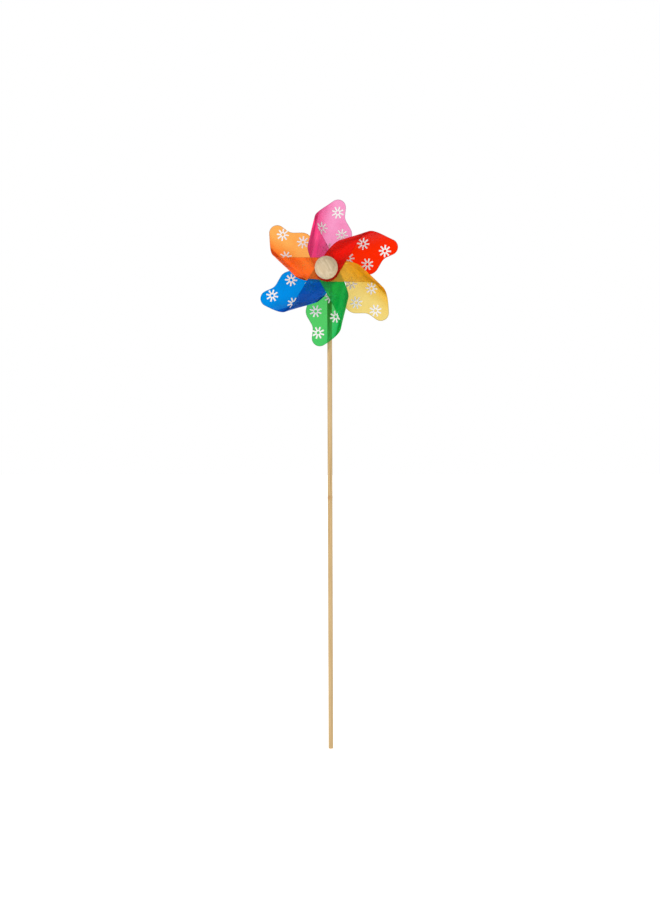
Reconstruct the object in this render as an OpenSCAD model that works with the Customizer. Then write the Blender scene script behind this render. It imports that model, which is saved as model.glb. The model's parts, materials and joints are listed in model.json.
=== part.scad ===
// Pinwheel on a stick: six curled film petals turn on a wire pin between a round wooden bead and the stick.
// The stick stands along +Z with its foot at the origin, and the pin runs along Y with the bead in front, at -Y.
// Petals are drawn in their own frame, in which u points across to the fold and v runs along it.

/* [Stick] */
// Length of the stick
stick_len = 500; // [300:5:700]
// Diameter of the stick
stick_d = 5; // [4:0.5:9]
// Distance from the top end of the stick down to the pin
pin_drop = 12; // [6:1:40]
// Chamfer at the top end of the stick
stick_chamfer = 0.4; // [0.1:0.1:1]
// Height of the bamboo's node above the foot
node_z = 258; // [100:1:280]
// Length of the node's low ridge along the stick
node_len = 3; // [2:0.5:6]
// Rise of the node's ridge above the rest of the stick
node_rise = 0.1; // [0.05:0.05:0.3]

/* [Pin] */
// Diameter of the pin
pin_d = 1.8; // [1:0.1:3]
// Diameter of the pin's flat head behind the stick
pin_head_d = 4.2; // [3.5:0.1:8]
// Thickness of the pin's head
pin_head_t = 0.8; // [0.4:0.1:2]
// Radial clearance of the pieces that turn on the pin
running_gap = 0.05; // [0.02:0.01:0.1]
// Radial gap, filled with glue, round the pin in the stick and in the bead
glue_gap = 0.02; // [0.01:0.01:0.05]
// Play along the pin at each end of the turning pieces
end_play = 0.3; // [0.1:0.05:1]

/* [Bead] */
// Diameter of the wooden bead
bead_d = 23; // [16:0.5:40]
// Diameter of the flat that the bead has at its back
bead_flat_d = 10; // [6:0.5:14]
// Depth of the bead's blind hole
bead_hole_depth = 12; // [6:0.5:14]
// Room left beyond the pin at the bottom of the blind hole
bead_hole_room = 1; // [0.5:0.5:3]

/* [Film] */
// Thickness of the film
film_t = 0.2; // [0.1:0.05:0.3]
// Gap between two films in a stack
film_gap = 0.14; // [0.05:0.01:0.2]
// Depth from a petal's rear layer to its front layer
curl_depth = 20; // [16:0.5:32]
// Radius of the fold's tight bend
fold_r = 7.5; // [4:0.25:8]
// Distance from the pin to the outermost line of the fold
fold_u = 26.5; // [24:0.5:38]
// Distance from the pin at which the layers start to bend
bend_u = 14.5; // [13:0.5:16]

/* [Petal outline] */
// Distance from the pin to the tip of a petal
reach = 75.5; // [64:0.5:94]
// Radius of the rounded tip
tip_r = 8.2; // [6:0.2:10]
// Sideways place of the tip's centre
tip_u = 7; // [4:0.5:10]
// Radius of the round end at the front hole
front_lobe_r = 12; // [10:0.5:14]
// Radius of the round end at the rear hole
rear_lobe_r = 11.5; // [9:0.5:13]
// Room between the notch's side and the long edge of the next petal, which passes behind it
notch_clear = 0.3; // [0.2:0.1:3]
// Angle below the holes at which the notch's sides meet the round ends
notch_turn = 10; // [0:1:16]
// Width of the notch's rounded top
notch_w = 4; // [2:0.5:6]
// Sideways place of the hollow in the wavy edge
wave_u = -2.5; // [-6:0.5:0]
// Distance along v from the tip's centre down to the hollow
wave_drop = 9.5; // [8:0.5:14]
// Sideways place of the bulge in the wavy edge
bulge_u = -14; // [-16:0.5:-12]
// Length of the bulge's side
bulge_len = 9.5; // [6:0.5:14]
// Height of the lower end of the bulge
bulge_v = 36; // [36:0.5:40]

/* [Washers and spacers] */
// Diameter of the clear washers
washer_d = 9; // [6:0.5:14]
// Thickness of the clear washers
washer_t = 0.5; // [0.3:0.1:1]
// Outer diameter of the tube that keeps the front and rear layers apart
tube_d = 4.4; // [3.5:0.1:7]
// Outer diameter of the spacer in front of the stick
spacer_d = 5.6; // [4:0.1:9]
// Length of the spacer in front of the stick
spacer_len = 4; // [3:0.5:12]

/* [Rest position] */
// Rotation of the petals about the pin at rest, anticlockwise from the front
rest_turn = -14; // [-30:1:30]

/* [Hidden] */
$fn = 64;
eps = 0.01;
petal_count = 6;

// Heights and radii on the pin
pin_z = stick_len - pin_drop;
turning_hole_r = pin_d / 2 + running_gap;
glued_hole_r = pin_d / 2 + glue_gap;

// Places along the pin, from the stick towards the front
stick_front_y = -stick_d / 2 - glue_gap;
spacer_front_y = stick_front_y - spacer_len;
rear_washer_y = spacer_front_y - end_play;
rear_stack_y = rear_washer_y - washer_t;
film_pitch = film_t + film_gap;
stack_t = petal_count * film_pitch;
front_stack_y = rear_stack_y - curl_depth;
front_washer_y = front_stack_y - stack_t - film_gap;
bead_back_y = front_washer_y - washer_t - end_play;
bead_centre_y = bead_back_y - sqrt(pow(bead_d / 2, 2) - pow(bead_flat_d / 2, 2));
pin_tip_y = bead_back_y - bead_hole_depth + bead_hole_room;

// The film's section is a flat, a wide bend, a tight bend, a wide bend and a flat, which meet smoothly
half_depth = curl_depth / 2;
tight_u = fold_u - fold_r;
wide_span = tight_u - bend_u;
wide_r = (pow(wide_span, 2) + pow(half_depth, 2) - pow(fold_r, 2)) / (2 * (half_depth - fold_r));
wide_angle = asin(wide_span / (wide_r - fold_r));
tight_len = fold_r * (90 - wide_angle) * PI / 180;
wide_len = wide_r * wide_angle * PI / 180;
// Length of film from the rear hole to the middle of the fold
fold_f = bend_u + wide_len + tight_len;

// Outline of the flat film: f runs across from the rear hole at 0, over the fold, to the front hole
tip_v = sqrt(pow(reach - tip_r, 2) - pow(tip_u, 2));
wave_v = tip_v - wave_drop;
// The trailing edge lies just inside the next petal's fold, which is a sixth of a turn away
petal_turn = 360 / petal_count;
tuck_in = 6.6;
neck_v = 20;
neck_u = (fold_u - tuck_in - neck_v * sin(petal_turn)) / cos(petal_turn);
bulge_top_v = bulge_v + bulge_len;
edge_round = 11;
side_round = 5;
neck_round = 4;
// Corner inside the rear round end, where the trailing edge runs into it
neck_foot = [rear_lobe_r * 0.5, rear_lobe_r * 0.7, 0];
outline_step = 2.5;
arc_step = 15;

// Front order of the petals' layers, 0 foremost, for pink, orange, blue, green, yellow and red
stack_order = [4, 1, 5, 3, 2, 0];

// Place across the petal of the film at length f from the rear hole
function u_of(f) =
    let (s = abs(f - fold_f))
    s < tight_len ? tight_u + fold_r * cos(s / fold_r * 180 / PI)
    : s < tight_len + wide_len ? bend_u + wide_r * sin(wide_angle - (s - tight_len) / wide_r * 180 / PI)
    : bend_u - (s - tight_len - wide_len);

// Points along the straight stretch from a to b, without b, no further apart than outline_step
function stretch(a, b) =
    let (n = max(1, ceil(norm(b - a) / outline_step)))
    [for (i = [0 : n - 1]) a + (b - a) * i / n];

function unit(v) = v / norm(v);
function flat_point(p) = [p[0], p[1]];

// Arc of radius p[2] that rounds the corner at p between its neighbours a and b
function rounding(a, p, b) =
    let (corner = flat_point(p),
         to_a = unit(flat_point(a) - corner),
         to_b = unit(flat_point(b) - corner),
         half = acos(to_a * to_b) / 2,
         centre = corner + unit(to_a + to_b) * p[2] / sin(half),
         start = corner + to_a * p[2] / tan(half) - centre,
         turn = sign(to_a[0] * to_b[1] - to_a[1] * to_b[0]) * -(180 - 2 * half),
         n = max(2, ceil(abs(turn) / arc_step)))
    p[2] == 0 ? [corner]
    : [for (i = [0 : n])
        let (t = turn * i / n)
        centre + [start[0] * cos(t) - start[1] * sin(t), start[0] * sin(t) + start[1] * cos(t)]];

// Closed outline through corners [f, v, radius], with long stretches divided
function outline(corners) =
    let (n = len(corners),
         arcs = [for (i = [0 : n - 1]) rounding(corners[(i + n - 1) % n], corners[i], corners[(i + 1) % n])],
         points = [for (arc = arcs) for (p = arc) p],
         m = len(points))
    [for (i = [0 : m - 1]) for (p = stretch(points[i], points[(i + 1) % m])) p];

// The same outline as seen from the front, where a point on the fold's line keeps clear of the film's wall
function front_view(points) =
    [for (p = points) [abs(p[0] - fold_f) < eps ? fold_u + fold_r : u_of(p[0]), p[1]]];

// Long edge of the film, a straight cut from the round tip to the round front end
function tip_centre() = [tip_u, tip_v];
function edge_normal() =
    let (way = [2 * fold_f, 0] - tip_centre(),
         lean = asin((front_lobe_r - tip_r) / norm(way)),
         across = unit([-way[1], way[0]]))
    across * cos(lean) - unit(way) * sin(lean);
function edge_v(f) =
    let (n = edge_normal(), c = n * tip_centre() + tip_r)
    (c - n[0] * f) / n[1];

// Corner at which the long edge and the tip's leaning side would meet if the tip weren't round
side_lean = 0.12;
tip_side_f = tip_u - tip_r;
tip_corner_v = edge_v(tip_side_f + side_lean * (edge_v(tip_side_f) - tip_v));
tip_corner_f = tip_side_f + side_lean * (tip_corner_v - tip_v);

// Place in the wide bend at which a front layer sinks to the layer of the petal that lies furthest behind it
most_levels = max([for (i = [0 : petal_count - 1])
    stack_order[i] - stack_order[(i + petal_count - 1) % petal_count]]);
sink_angle = acos(1 - (most_levels * film_pitch - film_t) / wide_r);
sink_u = bend_u + wide_r * sin(sink_angle);
sink_f = bend_u + wide_r * sink_angle * PI / 180;
// Height at which that petal's long edge, a sixth of a turn away, passes this place
function passing_v() =
    let (n = edge_normal(),
         k = n * tip_centre() + tip_r - 2 * fold_f * n[0],
         c = cos(petal_turn),
         s = sin(petal_turn),
         d = c * n[1] + s * n[0],
         u = (sink_u * n[1] - s * k) / d,
         v = (c * k + n[0] * sink_u) / d)
    v * c - u * s;
// The notch's side runs from the round end past that place up to the notch's rounded top at the fold
notch_foot = front_lobe_r * [cos(notch_turn), -sin(notch_turn)];
notch_side_f = fold_f - notch_w / 2;
notch_slope = (passing_v() + notch_clear - notch_foot[1]) / (sink_f - notch_foot[0]);
notch_v = notch_foot[1] + notch_slope * (notch_side_f - notch_foot[0]);

rear_corners = [
    [fold_f, notch_v, 0],
    [fold_f, edge_v(fold_f), 0],
    [tip_corner_f, edge_v(tip_corner_f), tip_r],
    [wave_u, wave_v, edge_round],
    [bulge_u, bulge_top_v, edge_round],
    [bulge_u, bulge_v, side_round],
    [neck_u, neck_v, neck_round],
    neck_foot,
    [rear_lobe_r * cos(notch_turn), -rear_lobe_r * sin(notch_turn), 0],
    [notch_side_f, notch_v, notch_w / 2]
];
front_corners = [
    [fold_f, notch_v, 0],
    [2 * fold_f - notch_side_f, notch_v, notch_w / 2],
    [2 * fold_f - notch_foot[0], notch_foot[1], 0],
    [2 * fold_f + edge_normal()[0] * front_lobe_r, edge_normal()[1] * front_lobe_r, 0],
    [fold_f, edge_v(fold_f), 0]
];

// Point of the film's section at length f, on one side of its middle
function section_point(f, side) =
    let (s = f - fold_f,
         front = s > 0,
         a = abs(s),
         t = a < tight_len ? a / fold_r * 180 / PI
             : a < tight_len + wide_len ? 90 - wide_angle + (a - tight_len) / wide_r * 180 / PI
             : 90,
         depth = a < tight_len ? half_depth - fold_r * sin(t)
                 : wide_r * (1 - cos(90 - t)),
         y = front ? -curl_depth + depth : -depth,
         off = side * film_t / 2)
    [-u_of(f) - cos(t) * off, y + (front ? -1 : 1) * sin(t) * off];

// The section runs past the film's ends, and the outline cuts it to length
bend_steps = 28;
section_margin = 30;
section_f = concat(
    [-section_margin],
    [for (i = [0 : bend_steps]) bend_u + 2 * (fold_f - bend_u) * i / bend_steps],
    [2 * fold_f + section_margin]);

module film_section() {
    n = len(section_f);
    polygon([for (i = [0 : n - 1]) section_point(section_f[i], 1),
             for (i = [n - 1 : -1 : 0]) section_point(section_f[i], -1)]);
}

// Stands a front view (u, v) up as a solid from y0 to y1
module front_solid(y0, y1) {
    translate([0, y1, 0])
        rotate([90, 0, 0])
            linear_extrude(y1 - y0)
                mirror([1, 0]) children();
}

module half_film(corners, lobe_r, y0, y1) {
    intersection() {
        translate([0, 0, -section_margin])
            linear_extrude(reach + 2 * section_margin)
                film_section();
        front_solid(y0, y1)
            difference() {
                union() {
                    polygon(front_view(outline(corners)));
                    circle(lobe_r);
                }
                circle(turning_hole_r);
            }
    }
}

// One petal about the pin's axis, with the middle of its rear layer at y = 0
module petal_film() {
    half_film(rear_corners, rear_lobe_r, -half_depth, film_t);
    half_film(front_corners, front_lobe_r, -curl_depth - film_t, -half_depth);
}

module petal(index) {
    y = rear_stack_y - film_pitch * (petal_count - stack_order[index] - 0.5);
    translate([0, y, pin_z])
        rotate([0, -(rest_turn + petal_turn * index), 0])
            petal_film();
}

module petal_pink() color([0.93, 0.35, 0.62, 0.8]) petal(0);
module petal_orange() color([1, 0.55, 0.12, 0.8]) petal(1);
module petal_blue() color([0, 0.5, 0.88, 0.8]) petal(2);
module petal_green() color([0.1, 0.72, 0.3, 0.8]) petal(3);
module petal_yellow() color([0.95, 0.8, 0.25, 0.8]) petal(4);
module petal_red() color([0.95, 0.15, 0.05, 0.8]) petal(5);

// Round piece on the pin's axis, from back_y towards the front
module on_pin(back_y, length, r) {
    translate([0, back_y, pin_z])
        rotate([90, 0, 0])
            cylinder(h = length, r = r);
}

module ring_on_pin(back_y, length, d) {
    difference() {
        on_pin(back_y, length, d / 2);
        on_pin(back_y + 1, length + 2, turning_hole_r);
    }
}

// The stick is cut straight at its foot and has one node, which is a low ridge
module bamboo_stick() color([0.86, 0.74, 0.54]) difference() {
    union() {
        cylinder(h = stick_len - stick_chamfer, d = stick_d);
        translate([0, 0, stick_len - stick_chamfer])
            cylinder(h = stick_chamfer, d1 = stick_d, d2 = stick_d - 2 * stick_chamfer);
        translate([0, 0, node_z - node_len / 2])
            cylinder(h = node_len / 2, d1 = stick_d, d2 = stick_d + 2 * node_rise);
        translate([0, 0, node_z])
            cylinder(h = node_len / 2, d1 = stick_d + 2 * node_rise, d2 = stick_d);
    }
    on_pin(stick_d, 2 * stick_d, glued_hole_r);
}

module axle_pin() color([0.72, 0.73, 0.75]) {
    head_y = stick_d / 2 + glue_gap + pin_head_t;
    on_pin(head_y, pin_head_t, pin_head_d / 2);
    on_pin(head_y, head_y - pin_tip_y, pin_d / 2);
}

module rear_spacer() color([0.9, 0.9, 0.88]) ring_on_pin(stick_front_y, spacer_len, spacer_d);
module rear_washer() color([0.88, 0.9, 0.92, 0.7]) ring_on_pin(rear_washer_y, washer_t - film_gap, washer_d);
module front_washer() color([0.88, 0.9, 0.92, 0.7]) ring_on_pin(front_washer_y, washer_t, washer_d);

module hub_tube() color([0.9, 0.9, 0.88]) {
    tube_back_y = rear_stack_y - stack_t - film_gap;
    ring_on_pin(tube_back_y, tube_back_y - front_stack_y - film_gap, tube_d);
}

// The bead is a ball with a small flat at its back and a blind hole for the pin
module wood_bead() color([0.84, 0.76, 0.6]) difference() {
    translate([0, bead_centre_y, pin_z])
        rotate([90, 0, 0])
            rotate_extrude()
                intersection() {
                    circle(d = bead_d);
                    translate([0, bead_centre_y - bead_back_y])
                        square([bead_d, 2 * bead_d]);
                }
    on_pin(bead_back_y + 1, bead_hole_depth + 1, glued_hole_r);
}

bamboo_stick();
axle_pin();
rear_spacer();
rear_washer();
hub_tube();
front_washer();
wood_bead();
petal_pink();
petal_orange();
petal_blue();
petal_green();
petal_yellow();
petal_red();
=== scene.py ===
# %% [markdown]
# A pinwheel on a stick: six petals of tinted clear film, printed with white daisies, curl round a pin
# behind a round wooden bead, at the top of a thin bamboo stick.
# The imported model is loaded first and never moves: it says how big each piece is and where it sits.
# Every piece made below stands for one of its nodes, with the detail that the plain solid lacks.

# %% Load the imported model
import json
import math
import random
import bpy
import numpy as np
from mathutils import Matrix, Vector
from mathutils.geometry import delaunay_2d_cdt
from mathutils.noise import noise


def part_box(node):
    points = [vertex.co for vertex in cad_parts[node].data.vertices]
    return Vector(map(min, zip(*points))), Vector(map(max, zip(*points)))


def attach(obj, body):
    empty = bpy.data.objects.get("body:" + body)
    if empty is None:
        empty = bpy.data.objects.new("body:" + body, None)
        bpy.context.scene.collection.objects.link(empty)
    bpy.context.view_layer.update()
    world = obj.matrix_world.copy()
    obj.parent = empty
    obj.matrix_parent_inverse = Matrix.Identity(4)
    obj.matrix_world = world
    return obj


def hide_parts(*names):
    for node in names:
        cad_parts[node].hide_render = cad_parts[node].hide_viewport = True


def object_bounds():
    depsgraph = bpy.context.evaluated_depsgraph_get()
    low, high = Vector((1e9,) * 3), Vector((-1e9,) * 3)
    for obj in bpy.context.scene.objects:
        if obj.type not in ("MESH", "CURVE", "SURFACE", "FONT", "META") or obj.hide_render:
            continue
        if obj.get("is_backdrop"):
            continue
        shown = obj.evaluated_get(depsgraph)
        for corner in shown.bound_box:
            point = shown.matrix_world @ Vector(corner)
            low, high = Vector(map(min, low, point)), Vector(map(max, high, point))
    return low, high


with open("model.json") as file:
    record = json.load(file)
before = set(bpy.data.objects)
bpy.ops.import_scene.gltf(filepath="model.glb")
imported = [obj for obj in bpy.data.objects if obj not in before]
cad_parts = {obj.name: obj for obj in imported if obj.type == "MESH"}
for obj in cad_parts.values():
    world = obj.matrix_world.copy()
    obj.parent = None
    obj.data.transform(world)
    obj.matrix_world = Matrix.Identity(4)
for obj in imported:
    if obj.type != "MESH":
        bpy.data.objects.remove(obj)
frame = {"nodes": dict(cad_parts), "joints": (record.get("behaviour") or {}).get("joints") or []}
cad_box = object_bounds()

MM = 0.001
joint = frame["joints"][0]
pin_z = joint["pos_m"][2]
print("nodes:", ", ".join(sorted(frame["nodes"])))
print(f"the pin is {pin_z / MM:.0f} mm above the stick's foot")

# %% [markdown]
# The camera comes first, so that every later step can be judged in the same view. It stands level with
# the middle of the object, a little to its right, at a distance that shows the wheel slightly from below.
# A level camera keeps the stick straight without any shift, and a slight roll lets it lean a little.

# %% Camera
camera_height = 0.307
camera_distance = 1.1
camera_azimuth = math.radians(4.5)
camera_roll = 0.003
seen_height = 0.927
sensor_width = 36
camera_data = bpy.data.cameras.new("camera")
camera_data.sensor_width = sensor_width
camera_data.lens = sensor_width * camera_distance / seen_height
camera = bpy.data.objects.new("camera", camera_data)
camera.location = (camera_distance * math.sin(camera_azimuth),
                   -camera_distance * math.cos(camera_azimuth), camera_height)
level = Matrix.Rotation(camera_azimuth, 3, "Z") @ Matrix.Rotation(math.pi / 2, 3, "X")
camera.rotation_euler = (level @ Matrix.Rotation(-camera_roll, 3, "Z")).to_euler()
bpy.context.scene.collection.objects.link(camera)
bpy.context.scene.camera = camera
print(f"lens {camera_data.lens:.1f} mm at {camera_distance} m")

# %% [markdown]
# The light and every material are built from nodes, so three small helpers come first. One adds a node
# and wires it, one mixes two colours, and one makes a material with its shader at hand.

# %% Helpers for nodes
COLOUR_A, COLOUR_B, MIXED = 6, 7, 2


def add_node(tree, kind, links=None, **settings):
    """Adds a node, sets its properties, and feeds its inputs with values or other nodes' outputs."""
    node = tree.nodes.new(kind)
    for name, value in settings.items():
        setattr(node, name, value)
    for key, value in (links or {}).items():
        if isinstance(value, bpy.types.NodeSocket):
            tree.links.new(value, node.inputs[key])
        else:
            node.inputs[key].default_value = value
    return node


def mix_colour(tree, factor, a, b, blend="MIX"):
    """Mix of two colours, each a value or another node's output."""
    mixed = add_node(tree, "ShaderNodeMix", {"Factor": factor, COLOUR_A: a, COLOUR_B: b},
                     data_type="RGBA", blend_type=blend)
    return mixed.outputs[MIXED]


def new_material(name):
    """A material, its node tree and its Principled shader."""
    material = bpy.data.materials.new(name)
    material.use_nodes = True
    return material, material.node_tree, material.node_tree.nodes["Principled BSDF"]


print("helpers:", ", ".join(f.__name__ for f in (add_node, mix_colour, new_material)))

# %% [markdown]
# Clear film shows what is behind it, so the light has to come from there too. The world is plain white
# where it is seen, and softer where it only lights, or the gloss would wash out the film's colour.

# %% World
plain_white = (1, 1, 1, 1)
cool_white = (0.97, 0.98, 1, 1)
seen_strength = 1.0
fill_strength = 0.74
shine_strength = 0.35

world = bpy.data.worlds.new("studio")
world.use_nodes = True
sky = world.node_tree
sky.nodes.clear()
seen, fill, shine = [add_node(sky, "ShaderNodeBackground", {"Color": colour, "Strength": strength}).outputs[0]
                     for colour, strength in ((plain_white, seen_strength), (cool_white, fill_strength),
                                              (cool_white, shine_strength))]
ray = add_node(sky, "ShaderNodeLightPath").outputs
unseen = add_node(sky, "ShaderNodeMixShader", {0: ray["Is Glossy Ray"], 1: fill, 2: shine}).outputs[0]
either = add_node(sky, "ShaderNodeMixShader", {0: ray["Is Camera Ray"], 1: unseen, 2: seen}).outputs[0]
add_node(sky, "ShaderNodeOutputWorld", {"Surface": either})
bpy.context.scene.world = world
bpy.context.scene.view_settings.view_transform = "Standard"
print("world:", world.name, "of", len(sky.nodes), "nodes")

# %% [markdown]
# Two large round lamps give the wood its shape. The floor is pale and matt, and glows a little so that it
# meets the white world without an edge.

# %% Lamps and floor
hub = Vector((0, 0, pin_z))
floor_reach = 12
floor_drop = 0.0005
floor_paint_values = {"Base Color": (0.92, 0.92, 0.92, 1), "Roughness": 0.9,
                      "Emission Color": plain_white, "Emission Strength": 0.6}


def add_lamp(name, place, size, watts, colour):
    """A round area lamp that shines at the hub."""
    data = bpy.data.lights.new(name, "AREA")
    data.shape = "DISK"
    data.size = size
    data.energy = watts
    data.color = colour
    lamp = bpy.data.objects.new(name, data)
    lamp.location = place
    lamp.rotation_euler = (hub - Vector(place)).to_track_quat("-Z", "Y").to_euler()
    bpy.context.scene.collection.objects.link(lamp)


add_lamp("key", (-0.9, -1.1, 1.35), size=0.7, watts=9.5, colour=(1, 0.98, 0.95))
add_lamp("side", (1.5, -0.9, 0.6), size=0.9, watts=2, colour=(0.96, 0.98, 1))

floor_mesh = bpy.data.meshes.new("floor")
floor_mesh.from_pydata([(-floor_reach, -floor_reach, 0), (floor_reach, -floor_reach, 0),
                        (floor_reach, floor_reach, 0), (-floor_reach, floor_reach, 0)],
                       [], [(0, 1, 2, 3)])
floor = bpy.data.objects.new("floor", floor_mesh)
floor.location.z = -floor_drop
bpy.context.scene.collection.objects.link(floor)
floor_paint, _, floor_shader = new_material("pale_floor")
for socket_name, value in floor_paint_values.items():
    floor_shader.inputs[socket_name].default_value = value
floor_mesh.materials.append(floor_paint)
floor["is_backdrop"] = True

# %% [markdown]
# A petal is cut from flat film, printed, and only then curled, so it is made here in the same order.
# The cut is drawn in the film's own plane: f runs across from the rear hole, over the fold, to the front
# hole, and v runs along the fold. Corners are rounded with arcs and the two ends are round about their
# holes, so a few sizes draw the whole outline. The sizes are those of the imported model.

# %% Sizes of a petal, in millimetres
film_t = 0.2
fold_r = 7.5
fold_u = 26.5
bend_u = 14.5
reach = 75.5
tip_r = 8.2
tip_u = 7
front_lobe_r = 12
rear_lobe_r = 11.5
notch_v = 20.3
notch_turn = math.radians(10)
notch_w = 4
notch_corner_r = notch_w / 2 * 0.95
wave_u = -2.5
wave_drop = 9.5
bulge_u = -14
bulge_len = 9.5
bulge_v = 36
neck = (5.16, 20)
neck_foot_share = (0.5, 0.7)
hole_r = 0.95
side_lean = 0.12
corner_r = {"hollow": 11, "bulge_top": 11, "bulge_foot": 5, "neck": 4}

pink_low, pink_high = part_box("petal_pink")
curl_depth = (pink_high.y - pink_low.y) / MM - film_t
half_depth = curl_depth / 2
tight_u = fold_u - fold_r
wide_span = tight_u - bend_u
wide_r = (wide_span ** 2 + half_depth ** 2 - fold_r ** 2) / (2 * (half_depth - fold_r))
wide_angle = math.asin(wide_span / (wide_r - fold_r))
tight_len = fold_r * (math.pi / 2 - wide_angle)
wide_len = wide_r * wide_angle
fold_f = bend_u + wide_len + tight_len
print(f"curl {curl_depth:.1f} mm deep, {2 * fold_f:.1f} mm of film from hole to hole")


# %% [markdown]
# Two helpers draw the outline. The first rounds a corner with an arc that touches both of its sides, and
# the second goes round part of a circle. A third divides long straight stretches, because the film
# bends there once it is curled, and a bend needs points to bend at.

# %% Helpers for outlines
def rounded(before, corner, after, radius, step=math.radians(12)):
    """Arc of that radius which rounds a corner between its two neighbours."""
    before, corner, after = Vector(before), Vector(corner), Vector(after)
    to_before = (before - corner).normalized()
    to_after = (after - corner).normalized()
    half = to_before.angle(to_after) / 2
    centre = corner + (to_before + to_after).normalized() * radius / math.sin(half)
    first = corner + to_before * radius / math.tan(half) - centre
    last = corner + to_after * radius / math.tan(half) - centre
    turn = math.atan2(first.cross(last), first.dot(last))
    count = max(2, math.ceil(abs(turn) / step))
    return [centre + Matrix.Rotation(turn * i / count, 2) @ first for i in range(count + 1)]


def round_end(centre_f, radius, start, end, step=math.radians(6)):
    """Points anticlockwise round a hole's centre from one angle to another."""
    count = math.ceil((end - start) / step)
    angles = [start + (end - start) * i / count for i in range(count + 1)]
    return [Vector((centre_f + radius * math.cos(a), radius * math.sin(a))) for a in angles]


def divided(points, longest):
    """The closed outline with no stretch longer than that."""
    made = []
    for a, b in zip(points, points[1:] + points[:1]):
        count = max(1, math.ceil((b - a).length / longest - 1e-6))
        made += [a.lerp(b, i / count) for i in range(count)]
    return made


print("helpers:", ", ".join(f.__name__ for f in (rounded, round_end, divided)))

# %% [markdown]
# The cut goes round the tip, down the wavy side to the rear end, round both ends with the notch between
# them, and straight back up. The straight cut touches the round tip and the round front end, and the
# tip's corner lies where it meets the leaning side.

# %% The cut of the flat film
longest_stretch = 1.3
fine_steps = 500


def film_outline():
    """Anticlockwise outline of the flat film: the tip, the wavy side, both ends and the straight cut."""
    tip = Vector((tip_u, math.sqrt((reach - tip_r) ** 2 - tip_u ** 2)))
    way = Vector((2 * fold_f, 0)) - tip
    lean = math.asin((front_lobe_r - tip_r) / way.length)
    normal = Vector((-way.y, way.x)).normalized() * math.cos(lean) - way.normalized() * math.sin(lean)
    if normal.x < 0:
        normal = -normal
    cut = normal.dot(tip) + tip_r

    def cut_v(f):
        return (cut - normal.x * f) / normal.y

    side_f = tip_u - tip_r
    corner_v = cut_v(side_f + side_lean * (cut_v(side_f) - tip.y))
    corner_f = side_f + side_lean * (corner_v - tip.y)
    tip_corner = Vector((corner_f, cut_v(corner_f)))
    hollow = Vector((wave_u, tip.y - wave_drop))
    bulge_top = Vector((bulge_u, bulge_v + bulge_len))
    bulge_foot = Vector((bulge_u, bulge_v))
    neck_corner = Vector(neck)
    neck_foot = Vector([rear_lobe_r * share for share in neck_foot_share])
    on_cut = Vector((2 * fold_f, 0)) + normal * front_lobe_r

    down_neck = (neck_corner.lerp(neck_foot, i / fine_steps) for i in range(fine_steps + 1))
    joins = next(point for point in down_neck if point.length <= rear_lobe_r)
    notch_left = Vector((fold_f - notch_w / 2, notch_v))
    notch_right = Vector((fold_f + notch_w / 2, notch_v))
    rear_end = round_end(0, rear_lobe_r, math.atan2(joins.y, joins.x), 2 * math.pi - notch_turn)
    front_end = round_end(2 * fold_f, front_lobe_r, math.pi + notch_turn,
                          2 * math.pi + math.atan2(normal.y, normal.x))
    points = rounded(on_cut, tip_corner, hollow, tip_r)
    points += rounded(tip_corner, hollow, bulge_top, corner_r["hollow"])
    points += rounded(hollow, bulge_top, bulge_foot, corner_r["bulge_top"])
    points += rounded(bulge_top, bulge_foot, neck_corner, corner_r["bulge_foot"])
    points += rounded(bulge_foot, neck_corner, neck_foot, corner_r["neck"])
    points += rear_end
    points += rounded(rear_end[-1], notch_left, notch_right, notch_corner_r)
    points += rounded(notch_left, notch_right, front_end[0], notch_corner_r)
    points += front_end
    return divided(points, longest_stretch)


outline = film_outline()
print(f"outline of {len(outline)} points,",
      f"{max(p.y for p in outline) - min(p.y for p in outline):.1f} mm along the fold")


# %% [markdown]
# The mesh needs to know which points lie inside the cut, how far from it they are, and where a line just
# inside it runs. Numpy answers that for all the points at once.

# %% Helpers for the mesh
def distance_to_loop(points, loop):
    """Distance from each point to the nearest stretch of a closed loop."""
    p = np.array(points)[:, None, :]
    a = np.array([tuple(q) for q in loop])
    b = np.roll(a, -1, axis=0)
    along = b - a
    t = ((p - a) * along).sum(2) / (along ** 2).sum(1)
    nearest = a + np.clip(t, 0, 1)[:, :, None] * along
    return np.linalg.norm(p - nearest, axis=2).min(1)


def inside_loop(points, loop):
    """Which points lie inside a closed loop, by counting crossings."""
    p = np.array(points)
    a = np.array([tuple(q) for q in loop])
    b = np.roll(a, -1, axis=0)
    crosses = (a[:, 1] > p[:, 1:2]) != (b[:, 1] > p[:, 1:2])
    with np.errstate(divide="ignore", invalid="ignore"):
        at = a[:, 0] + (p[:, 1:2] - a[:, 1]) * (b[:, 0] - a[:, 0]) / (b[:, 1] - a[:, 1])
    return (crosses & (p[:, 0:1] < at)).sum(1) % 2 == 1


def inset(loop, by):
    """The loop moved inwards, for an anticlockwise loop."""
    made = []
    for before, point, after in zip(loop[-1:] + loop[:-1], loop, loop[1:] + loop[:1]):
        along = (after - before).normalized()
        made.append(point + Vector((-along.y, along.x)) * by)
    return made


print("helpers:", ", ".join(f.__name__ for f in (distance_to_loop, inside_loop, inset)))

# %% [markdown]
# The flat film could be filled as one big face, but a curl needs points all over it. A Delaunay mesh of
# the outline and a grid of inner points gives even triangles that follow the cut exactly.
# A second line of points half a millimetre inside the cut keeps room for the rim, where the colour is
# darkened along the cut edge by painted shade.

# %% Mesh of the flat film
rim_width = 0.5
flat_step = 2.0
bend_step = 1.1
bend_margin = 2
grid_margin = 20.0
grid_foot, grid_top = -14, reach + 4
hole_steps = 24
room_at_cut = rim_width + 0.6
room_at_hole = hole_r + 1


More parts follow.
